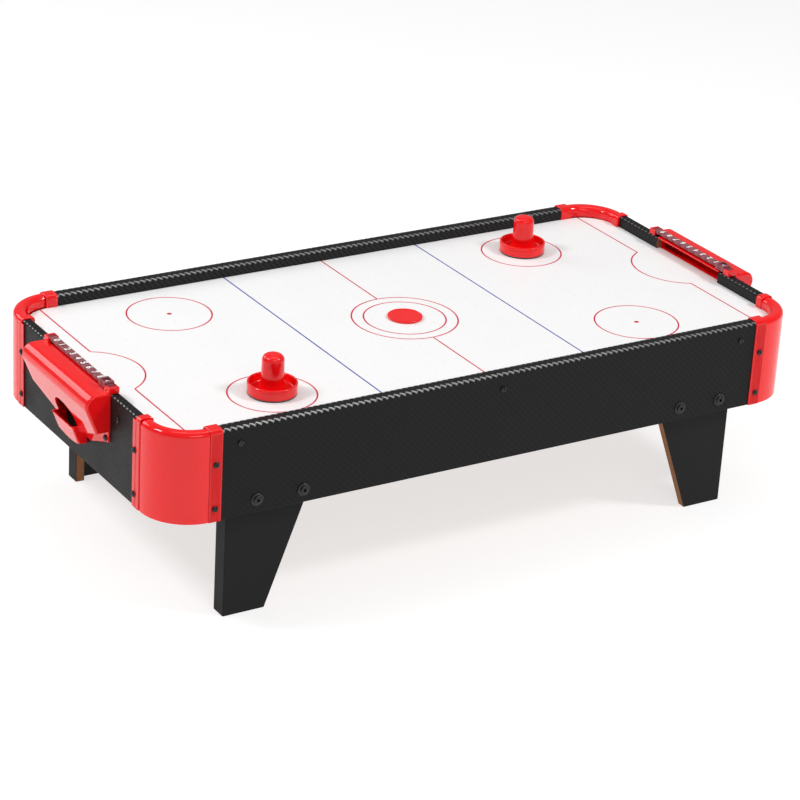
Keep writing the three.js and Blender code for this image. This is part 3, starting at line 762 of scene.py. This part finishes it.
# ---------- corner guards ----------
GUARD_RADIUS = 56  # outer radius of a guard's curved wall
GUARD_PROUD = 0.9  # how far the curved wall stands out of the panels
GUARD_DEPTH = 16  # across a guard's rail
GUARD_WALL = 2.5
GUARD_TOP = 239.8
GUARD_ROLL = 6.5  # rounding of a guard's rail
SEAM = 0.6  # depth of the step where the curved wall meets its collars
BAND_SKIN = 1.8  # how far the bands and collars stand out of the panels
BAND_X = (362, 376.5)
BAND_Y = (141, 150.8)
COLLAR_X = (361, 376.5)
COLLAR_Y = (146.5, 157)
COLLAR_END = 1.3  # rounding of a collar's two ends
END_COLLAR_DEPTH = 4.2  # how far the end panels' collars reach over the field
GUARD_CENTRE = (HALF_LENGTH + GUARD_PROUD - GUARD_RADIUS, HALF_WIDTH + GUARD_PROUD - GUARD_RADIUS)


def guard_section():
    """The curved rail's outline as (radius, height): a tall outer wall that rolls over to the field."""
    outer, inner, wall = GUARD_RADIUS, GUARD_RADIUS - GUARD_DEPTH, GUARD_WALL
    low = FIELD_TOP + GAP
    return fillet([
        (outer, PANEL_BOTTOM, 0.7), (outer, GUARD_TOP, GUARD_ROLL), (inner, GUARD_TOP, GUARD_ROLL),
        (inner, low, 0.7), (inner + wall, low, 0.5), (inner + wall, GUARD_TOP - wall, GUARD_ROLL - wall),
        (outer - wall, GUARD_TOP - wall, GUARD_ROLL - wall), (outer - wall, PANEL_BOTTOM, 0.5),
    ], 6)


def collar_section(outer, inner, skin_out, skin_in):
    """A collar's outline: the same roll-over, fitted round a board's section."""
    low = FIELD_TOP + GAP
    out, inn, top = outer + skin_out, inner - skin_in, RAIL_TOP + skin_out
    return fillet([
        (out, PANEL_BOTTOM, 0.5), (out, top, RAIL_ROUND + skin_out), (inn, top, RAIL_ROUND + skin_out),
        (inn, low, 0.4), (inner - GAP, low, 0), (inner - GAP, RAIL_TOP + GAP, RAIL_ROUND + GAP),
        (outer + GAP, RAIL_TOP + GAP, RAIL_ROUND + GAP), (outer + GAP, PANEL_BOTTOM, 0),
    ], 6)


def rounded_run(start, end, radius, steps):
    """Stations from start to end, each with how far the surface is drawn in by the rounded ends."""
    stations = []
    for k in range(steps + 1):
        angle = math.pi / 2 * k / steps
        stations.append((radius * (1 - math.cos(angle)), radius * (1 - math.sin(angle))))
    return [(start + s, drawn) for s, drawn in stations] + [(end - s, drawn) for s, drawn in stations[::-1]]


def guard_wall(body):
    """The curved wall with its rail, straight at first and then round the corner, sunk at both ends."""
    cx, cy = GUARD_CENTRE
    quarter, turns = math.pi / 2, 28
    path = [(cx, BAND_Y[1] - 1.3, 0.0, SEAM), (cx, COLLAR_Y[1] + 1.4, 0.0, SEAM),
            (cx, COLLAR_Y[1] + 2.2, 0.0, 0.0)]
    path += [(cx, cy, quarter * i / turns, 0.0) for i in range(turns)]
    path += [(cx, cy, quarter - 0.035, 0.0), (cx, cy, quarter - 0.02, SEAM), (cx - 0.4, cy, quarter, SEAM)]
    middle = GUARD_RADIUS - GUARD_DEPTH / 2
    rings = []
    for x, y, t, sunk in path:
        section = [(r - sunk if r > middle else r, z - sunk if z > GUARD_TOP - 7 else z)
                   for r, z in guard_section()]
        rings.append([(x + r * math.cos(t), y + r * math.sin(t), z) for r, z in section])
    skin(body, rings)


def collar(body, run, outer, inner, depth, on_end):
    """A collar that runs along a long panel, or along an end panel if on_end is set."""
    rings = []
    for station, drawn in rounded_run(*run, COLLAR_END, 4):
        outline = collar_section(outer, inner, BAND_SKIN - drawn, depth - drawn)
        rings.append([(o, station, z) if on_end else (station, o, z) for o, z in outline])
    skin(body, rings)


def guard_mesh(sx, sy):
    body = bmesh.new()
    guard_wall(body)
    collar(body, COLLAR_X, HALF_WIDTH, LONG_INNER, BAND_SKIN, False)
    collar(body, COLLAR_Y, HALF_LENGTH, END_INNER, END_COLLAR_DEPTH, True)
    band_top = RAIL_TOP - RAIL_ROUND
    block(body, (BAND_X[0], HALF_WIDTH + GAP, PANEL_BOTTOM),
          (BAND_X[1], HALF_WIDTH + BAND_SKIN, band_top), 0.6)
    block(body, (HALF_LENGTH + GAP, BAND_Y[0], PANEL_BOTTOM),
          (HALF_LENGTH + BAND_SKIN, BAND_Y[1], band_top), 0.6)
    body.transform(Matrix.Diagonal((sx, sy, 1, 1)))
    return new_mesh("corner_guard", body, 35)


for corner, side_x, side_y in CORNERS:
    add_piece(f"{corner}_guard_shell", guard_mesh(side_x, side_y), "table", (RED,),
              [f"{corner}_corner_guard"])


# ---------- screws and bolts ----------
CROSS = {"reach": 2.1, "half": 0.42, "low": 1.0, "high": 3.0}
SHANK_PAST_GRIP = 6
BOLT_HEAD = 3.6  # height of a leg bolt's head over the panel
BOLT_RADIUS = 2.5


def pan_screw_mesh():
    """A pan-head screw along +Z with a cross recess, its head's underside at 0."""
    head = lathe(bmesh.new(), [(0, -6), (1.5, -6), (1.5, 0), (3.5, 0), (3.65, 0.2), (3.6, 0.9), (3.2, 1.6),
                               (2.5, 2.0), (1.4, 2.2), (0, 2.25)], 32)
    arms = [block(bmesh.new(), (-x, -y, CROSS["low"]), (x, y, CROSS["high"]))
            for x, y in ((CROSS["reach"], CROSS["half"]), (CROSS["half"], CROSS["reach"]))]
    return new_mesh("pan_screw", combine(head, arms, "DIFFERENCE"), 40)


def hexagon(radius):
    return [(radius * math.cos(math.radians(60 * k)), radius * math.sin(math.radians(60 * k)))
            for k in range(6)]


def leg_bolt_mesh(grip):
    """A washer and a button head with a hexagon socket, and a nut beyond the grip."""
    end = -grip - SHANK_PAST_GRIP
    head = lathe(bmesh.new(), [(0, end), (BOLT_RADIUS, end), (BOLT_RADIUS, 0), (7.3, 0), (7.5, 0.2),
                               (7.5, 1.0), (7.3, 1.2), (5.0, 1.2), (5.0, 1.7), (4.7, 2.5), (4.0, 3.2),
                               (3.0, BOLT_HEAD), (0, BOLT_HEAD)], 48)
    result = combine(head, [prism(bmesh.new(), hexagon(2.4), 0.6, 5.0)], "DIFFERENCE")
    prism(result, hexagon(4.6), -grip - 4, -grip, 0.4)
    return new_mesh("leg_bolt", result, 40)


def set_fastener(name, mesh, place, out_way, turn, material, replaces=()):
    """Puts a fastener, drawn along +Z, at a place in millimetres, pointing out_way."""
    lie = Vector(out_way).to_track_quat("Z", "Y").to_matrix().to_4x4()
    stand = Matrix.Translation(Vector(place) * MM) @ lie @ Matrix.Rotation(turn, 4, "Z")
    add_piece(name, mesh, "table", (material,), replaces, stand, even=False)


SCREW_SEED = 7
turns_of_screws = random.Random(SCREW_SEED)
PAN_SCREW = pan_screw_mesh()
LONG_SCREW = {"xs": (-339, 0, 340), "z": 219.5}
END_SCREW = {"ys": (-102, 102), "z": 217}


def add_screw(name, place, out_way, replaces=()):
    """A pan-head screw, driven home to any turn."""
    turn = turns_of_screws.uniform(0, 1.5)
    set_fastener(name, PAN_SCREW, place, out_way, turn, STEEL, replaces)


def add_screws():
    for corner, sx, sy in CORNERS:
        for face in ("side", "end"):
            for level in ("lower", "upper"):
                node = f"{corner}_guard_{face}_screw_{level}"
                place = node_middle(node)
                if face == "side":
                    place.y = sy * (HALF_WIDTH + BAND_SKIN + SEAT)
                else:
                    place.x = sx * (HALF_LENGTH + BAND_SKIN + SEAT)
                out_way = (0, sy, 0) if face == "side" else (sx, 0, 0)
                add_screw(node + "_head", place, out_way, [node])
    for side, sy in (("front", -1), ("back", 1)):
        for i, x in enumerate(LONG_SCREW["xs"]):
            place = (x, sy * (HALF_WIDTH + SEAT), LONG_SCREW["z"])
            add_screw(f"{side}_panel_screw_{i + 1}", place, (0, sy, 0))
    for side, sx in (("left", -1), ("right", 1)):
        for i, y in enumerate(END_SCREW["ys"]):
            place = (sx * (HALF_LENGTH + SEAT), y, END_SCREW["z"])
            add_screw(f"{side}_end_panel_screw_{i + 1}", place, (sx, 0, 0))


add_screws()


def add_bolts():
    low, high = node_box("back_right_leg_bolt_inner")
    mesh = leg_bolt_mesh(high.y - BOLT_HEAD - (low.y + SHANK_PAST_GRIP))
    for corner, _, sy in CORNERS:
        for which in ("inner", "outer"):
            node = f"{corner}_leg_bolt_{which}"
            place = node_middle(node)
            place.y = sy * (HALF_WIDTH + SEAT)
            turn = turns_of_screws.uniform(0, 1.0)
            set_fastener(node + "_head", mesh, place, (0, sy, 0), turn, ZINC, [node])


add_bolts()


# ---------- goal boxes ----------
BOX_HALF = 84  # half length of a goal box
BOX_WALL = 2.2
BOX_TOP = 241
BOX_ARC = {"out": 17, "z": 228, "radius": 13}  # the round shoulder over the front wall
BOX_FOOT = 17.5  # how far out the front wall stands at the box's bottom ends
BOX_LOW = 195  # bottom corner at the box's ends
MIDDLE_LOW = 171  # bottom corner beside the tray
BOX_EDGE = 0.7
CHEEK_ROUND = 3.0
TRAY_HALF = 26.5
TRAY = {"rim": 179, "run": 19.2, "low": 157, "dip": 5}
TRAY_EDGE = 1.2
ARCH = {"radius": 24.5, "rise": 17, "z": 186}
SLANT = 0.39  # outward run of the front wall per unit of height
TAB_SCREW = {"y": 77.5, "z": 185.5}
TAB_THICK = 2.2
SLEEVE_HALF = MOUTH_HALF - 0.5
LINING_HALF = 0.6
BLOCK_TOP = 246.7  # top of the blocks that hold a score bar's ends


def box_bottom(y):
    """Height of the box's bottom edge, which dips to the tray in the middle."""
    slope = (BOX_LOW - MIDDLE_LOW) / (BOX_HALF - TRAY_HALF)
    return MIDDLE_LOW + slope * max(0, abs(y) - TRAY_HALF)


def box_shell(wall, back):
    """The box as a closed body drawn in by wall, from back outwards, with rounded cheeks."""
    half = BOX_HALF - wall
    ends = rounded_run(-half, half, max(CHEEK_ROUND - wall, 0.5), 5)
    middle = [(y, 0.0) for y in (-70, -55, -40, -TRAY_HALF, -13, 0, 13, TRAY_HALF, 40, 55, 70)]
    rings = []
    for y, drawn in sorted(ends + middle):
        drawn += wall
        low = box_bottom(y) + wall
        foot = BOX_FOOT + SLANT * (low - BOX_LOW) - 1.07 * drawn
        ring = [(back, low), (foot - BOX_EDGE, low), (foot + SLANT * BOX_EDGE, low + BOX_EDGE)]
        reach = BOX_ARC["radius"] - drawn
        for k in range(17):
            angle = math.radians(-22 + (90 + 22) * k / 16)
            ring.append((BOX_ARC["out"] + reach * math.cos(angle), BOX_ARC["z"] + reach * math.sin(angle)))
        ring.append((back, BOX_ARC["z"] + BOX_ARC["radius"] - drawn))
        rings.append([(HALF_LENGTH + out, y, z) for out, z in ring])
    return skin(bmesh.new(), rings)


def tray_shell(wall):
    """The pocket under the arch: a leaning front, upright sides and a sagging bottom."""
    half = TRAY_HALF - wall
    rim = TRAY["rim"] + (4 if wall else 0)
    soft = 1.6 if not wall else 0.6
    back = -2 if wall else GAP
    rings = []
    for y, drawn in sorted(rounded_run(-half, half, soft, 3) + [(y, 0.0) for y in range(-18, 19, 6)]):
        sag = TRAY["dip"] * (1 - (y / TRAY_HALF) ** 2)
        low = TRAY["low"] - sag + wall

        def lean(z):
            return TRAY["run"] - wall - drawn - SLANT * (TRAY["rim"] - z)

        outline = [(back, low), (lean(low) - TRAY_EDGE, low), (lean(low) - 0.2, low + TRAY_EDGE * 0.4),
                   (lean(low) + SLANT * TRAY_EDGE, low + TRAY_EDGE), (lean(rim), rim), (back, rim)]
        rings.append([(HALF_LENGTH + out, y, z) for out, z in outline])
    return skin(bmesh.new(), rings)


def along_x(outline, start, end, chamfer=0.0):
    """An outline of (y, z) run out from the panel."""
    return prism(bmesh.new(), outline, start, end, chamfer, lambda a, b, c: (HALF_LENGTH + c, a, b))


def arch_tool():
    """What cuts the puck's way out through the front wall and down to the tray."""
    turns = [math.radians(5 * k) for k in range(37)]
    arch = [(ARCH["radius"] * math.cos(t), ARCH["z"] + ARCH["rise"] * math.sin(t)) for t in turns]
    inside = TRAY_HALF - BOX_WALL
    return along_x([*arch, (-inside, TRAY["rim"] - 1), (inside, TRAY["rim"] - 1)], 3, 45)


def tab(sign):
    """A screwed flange beside the tray, flat on the end panel."""
    outline = fillet([(TRAY_HALF - 1, 197, 0), (TRAY_HALF - 1, 166, 1), (41, 166, 3), (79, 181, 5),
                      (83.7, 181, 4), (83.7, 197, 0)], 5)
    return along_x([(sign * y, z) for y, z in outline], GAP, GAP + TAB_THICK, 0.5)


def sleeve():
    """The lintel, sill and side linings that lead the puck through the goal mouth."""
    start, end = FIELD_HIGH.x + GAP, HALF_LENGTH + 0.6
    lintel = block(bmesh.new(), (END_INNER + GAP, -SLEEVE_HALF, BOX_TOP - BOX_WALL),
                   (HALF_LENGTH + 6, SLEEVE_HALF, BOX_TOP), 0.5)
    sill = block(bmesh.new(), (start, -SLEEVE_HALF, FIELD_LOW.z), (end, SLEEVE_HALF, FIELD_TOP - 0.4), 0.3)
    linings = [block(bmesh.new(), (start + 0.1, y - LINING_HALF, FIELD_LOW.z + 0.1),
                     (end, y + LINING_HALF, BOX_TOP - 1), 0.2)
               for y in (-SLEEVE_HALF + LINING_HALF, SLEEVE_HALF - LINING_HALF)]
    return [lintel, sill, *linings]


def end_blocks():
    """The blocks on the rail that hold the score bar's ends."""
    blocks = []
    for sign in (-1, 1):
        y0, y1 = sorted((sign * 71.8, sign * 83.5))
        upper = block(bmesh.new(), (END_INNER + 1, y0, RAIL_TOP + GAP),
                      (HALF_LENGTH + 2.4, y1, BLOCK_TOP), 0.9, 3)
        lower = block(bmesh.new(), (HALF_LENGTH + GAP, y0 + 0.4, BOX_TOP - 2),
                      (HALF_LENGTH + 2.3, y1 - 0.4, 245), 0.3)
        blocks.append(combine(upper, [lower], "UNION"))
    return blocks


def bar_seat():
    """The room that the score bar takes in the end blocks, open above it."""
    low, high = node_box("right_score_bar")
    return block(bmesh.new(), low - Vector((GAP, GAP, GAP)), high + Vector((GAP, GAP, 20)))


def goal_box_body():
    tabs = [tab(sign) for sign in (1, -1)]
    solid = combine(box_shell(0, GAP), [tray_shell(0)], "UNION")
    solid = combine(solid, [box_shell(BOX_WALL, -2), tray_shell(BOX_WALL), arch_tool()], "DIFFERENCE")
    solid = combine(solid, [*sleeve(), *end_blocks(), *tabs], "UNION")
    return combine(solid, [bar_seat()], "DIFFERENCE")


def add_goal_boxes():
    mesh = new_mesh("goal_box", goal_box_body(), 32)
    for side, sign, turn in (("right", 1, 0), ("left", -1, math.pi)):
        add_piece(f"{side}_goal_box_shell", mesh, "table", (RED,), [f"{side}_goal_box"],
                  Matrix.Rotation(turn, 4, "Z"))
        for i, y in enumerate((-TAB_SCREW["y"], TAB_SCREW["y"])):
            place = (sign * (HALF_LENGTH + GAP + TAB_THICK + SEAT), y, TAB_SCREW["z"])
            add_screw(f"{side}_goal_box_screw_{i + 1}", place, (sign, 0, 0))


add_goal_boxes()


# ---------- score bars and markers ----------
DIGIT_SIZE = 10.5
INK_THICK = 0.03
DIGIT_WEIGHT = 0.42  # how far a digit's strokes are fattened


def digit_mesh(digit):
    """A printed digit, upright along +Y and centred, as a thin flat body."""
    curve = bpy.data.curves.new("digit", "FONT")
    curve.body = str(digit)
    curve.size = DIGIT_SIZE * MM
    curve.align_x = "CENTER"
    curve.align_y = "CENTER"
    curve.extrude = INK_THICK * MM
    curve.offset = DIGIT_WEIGHT * MM
    curve.resolution_u = 4
    holder = bpy.data.objects.new("digit", curve)
    link(holder)
    bpy.context.view_layer.update()
    depsgraph = bpy.context.evaluated_depsgraph_get()
    mesh = bpy.data.meshes.new_from_object(holder.evaluated_get(depsgraph))
    bpy.data.objects.remove(holder)
    bpy.data.curves.remove(curve)
    spans = [[vertex.co[axis] for vertex in mesh.vertices] for axis in range(3)]
    mesh.transform(Matrix.Translation([-(max(span) + min(span)) / 2 for span in spans]))
    return mesh


def add_score(side, sign):
    """A score bar and its digits, which read from the goal box's side."""
    low, high = node_box(f"{side}_score_bar")
    strip = new_mesh("score_bar", block(bmesh.new(), low, high, 0.5, 3))
    add_piece(f"{side}_score_bar_strip", strip, "table", (MAROON,), [f"{side}_score_bar"])
    for digit in range(10):
        y = sign * (digit - 4.5) * DIGIT_PITCH
        place = Vector(((low.x + high.x) / 2, y, high.z + INK_THICK + 0.01))
        stand = Matrix.Translation(place * MM) @ Matrix.Rotation(sign * math.pi / 2, 4, "Z")
        add_piece(f"{side}_score_digit_{digit}", digit_mesh(digit), "table", (INK,),
                  place=stand, even=False)


def marker_mesh(side):
    """A clip round the bar with a window in its top."""
    low, high = node_box(f"{side}_score_marker")
    bar_low, bar_high = node_box(f"{side}_score_bar")
    outer = block(bmesh.new(), low, high, 0.7, 3)
    channel = block(bmesh.new(), (bar_low.x - GAP, low.y - 5, bar_low.z - GAP),
                    (bar_high.x + GAP, high.y + 5, bar_high.z + 0.4))
    slot = block(bmesh.new(), (bar_low.x + 1.1, low.y - 5, low.z - 4),
                 (bar_high.x - 1.1, high.y + 5, bar_low.z + 1))
    window = block(bmesh.new(), (bar_low.x + 0.7, low.y + 3, bar_high.z - 1),
                   (bar_high.x - 0.7, high.y - 3, high.z + 5))
    return new_mesh(f"{side}_marker", combine(outer, [channel, slot, window], "DIFFERENCE"))


for bar_side, bar_sign in (("left", -1), ("right", 1)):
    add_score(bar_side, bar_sign)
    add_piece(f"{bar_side}_marker_clip", marker_mesh(bar_side), f"{bar_side}_marker",
              (MAROON,), [f"{bar_side}_score_marker"])


# ---------- mallets and puck ----------
MALLET_LOW = 1.6  # underside of a mallet, over its felt
MALLET_FLOOR = 4.6
MALLET_RIM = 14.5
PUCK = {"radius": 21, "thick": 2.8, "dish": 0.45}
ROUND_STEPS = 96


def mallet_profile():
    """Half the section of a mallet, from under the knob round the cup to the top of the knob."""
    outline = fillet([
        (0, 41, 0), (9.5, 40, 3), (9.5, MALLET_LOW, 0.5), (28.4, MALLET_LOW, 0.8), (28.75, MALLET_RIM, 1.1),
        (26.3, MALLET_RIM, 1.0), (25.8, MALLET_FLOOR, 2.0), (14.6, MALLET_FLOOR, 2.4), (13.2, 14, 6),
        (12.6, 47, 8.5), (0, 47.2, 0),
    ], 7)
    return [(max(r, 0), z) for r, z in outline]


def felt_profile():
    top = MALLET_LOW
    return fillet([(21, GAP, 0.3), (28.3, GAP, 0.3), (28.3, top, 0.2), (21, top, 0.2)], 3)


def add_mallets():
    for name in ("near", "far"):
        middle = node_middle(f"{name}_mallet")
        stand = Matrix.Translation((middle.x, middle.y, FIELD_TOP))
        body = lathe(bmesh.new(), mallet_profile(), ROUND_STEPS)
        add_piece(f"{name}_mallet_body", new_mesh("mallet", body, 50, stand), f"{name}_striker",
                  (RED,), [f"{name}_mallet"])
        ring = lathe(bmesh.new(), felt_profile(), ROUND_STEPS, closed=True)
        add_piece(f"{name}_mallet_pad", new_mesh("felt_ring", ring, 50, stand), f"{name}_striker",
                  (FELT,), [f"{name}_mallet_felt"])


add_mallets()


def add_puck():
    """A flat puck, slightly dished on top."""
    radius, top = PUCK["radius"], GAP + PUCK["thick"]
    dish = top - PUCK["dish"]
    profile = fillet([(0, GAP, 0), (radius, GAP, 0.5), (radius, top, 0.6), (radius - 1.8, top, 0.3),
                      (radius - 2.2, dish, 0.3), (0, dish, 0)], 4)
    body = lathe(bmesh.new(), profile, ROUND_STEPS)
    mesh = new_mesh("puck", body, 40, Matrix.Translation((0, 0, FIELD_TOP)))
    add_piece("puck_body", mesh, "gliding_puck", (RED,), ["puck"])


add_puck()


# ---------- pieces kept from the frame ----------
def soften(node, material, width):
    """Gives a CAD node its material and slightly rounded edges."""
    piece = frame["nodes"][node]
    for slot in piece.material_slots:
        slot.material = material
    if width:
        bevel = piece.modifiers.new("edges", "BEVEL")
        bevel.width = width * MM
        bevel.segments = 2
        bevel.limit_method = "ANGLE"
        bevel.angle_limit = math.radians(40)


soften("playing_surface", WHITE, 0.4)
soften("air_chamber_frame", RAW, 0)
soften("air_chamber_floor", RAW, 0.3)
for fan_node in ("fan_housing", "fan_impeller", "fan_grille"):
    soften(fan_node, BLACK, 0.25)
soften("fan_motor", ZINC, 0.3)
soften("power_switch_housing", BLACK, 0.4)
soften("power_switch_rocker", RED, 0.4)
soften("power_inlet", BLACK, 0.2)
soften("fan_lead", BLACK, 0)


# ---------- studio ----------
FLOOR_RADIUS = 6
FLOOR_THICK = 0.02
WORLD_LIGHT = 0.3
TABLE_MIDDLE = (0, 0, 0.2)


def area_light(name, place, aim, size, power, turn=0.0):
    """A white panel of light at a place, facing aim, turned about the way it faces."""
    data = bpy.data.lights.new(name, "AREA")
    data.shape = "RECTANGLE"
    data.size, data.size_y = size
    data.energy = power
    light = bpy.data.objects.new(name, data)
    link(light)
    light.location = place
    facing = (Vector(aim) - Vector(place)).to_track_quat("-Z", "Y")
    light.rotation_euler = (facing @ Quaternion((0, 0, 1), turn)).to_euler()


def add_floor():
    body = bmesh.new()
    lathe(body, [(0, 0), (FLOOR_RADIUS, 0), (FLOOR_RADIUS, -FLOOR_THICK), (0, -FLOOR_THICK)], 64)
    bmesh.ops.recalc_face_normals(body, faces=body.faces)
    mesh = bpy.data.meshes.new("floor")
    body.to_mesh(mesh)
    body.free()
    g = Graph("floor", Specular_IOR_Level=0.1, Emission_Color=(1, 1, 1, 1), Emission_Strength=0.68)
    g.colour(g.mix(g.noise(400, 2), (0.44, 0.44, 0.44, 1), (0.46, 0.46, 0.46, 1)))
    g.roughness(g.noise(300, 2), 0.7, 0.8)
    mesh.materials.append(g.material)
    floor = bpy.data.objects.new("floor", mesh)
    link(floor)


def add_world():
    world = bpy.data.worlds.new("studio")
    bpy.context.scene.world = world
    world.use_nodes = True
    background = world.node_tree.nodes["Background"]
    background.inputs["Color"].default_value = (1, 1, 1, 1)
    background.inputs["Strength"].default_value = WORLD_LIGHT


add_floor()
add_world()
area_light("front_softbox", (-0.6, -2.6, 1.9), TABLE_MIDDLE, (1.4, 1.2), 13)
area_light("back_softbox", (-1.2, 2.0, 1.5), TABLE_MIDDLE, (1.2, 1.2), 14)
area_light("top_softbox", (0.16, 0.25, 2.4), (0.16, 0.25, 0.0), (1.6, 0.9), 9, CAMERA_AZIMUTH)
area_light("left_key", (-1.84, 0.52, 2.1), TABLE_MIDDLE, (0.5, 0.5), 27)
area_light("right_key", (1.32, -1.4, 2.1), TABLE_MIDDLE, (0.5, 0.5), 29)
bpy.context.scene.view_settings.view_transform = "Standard"
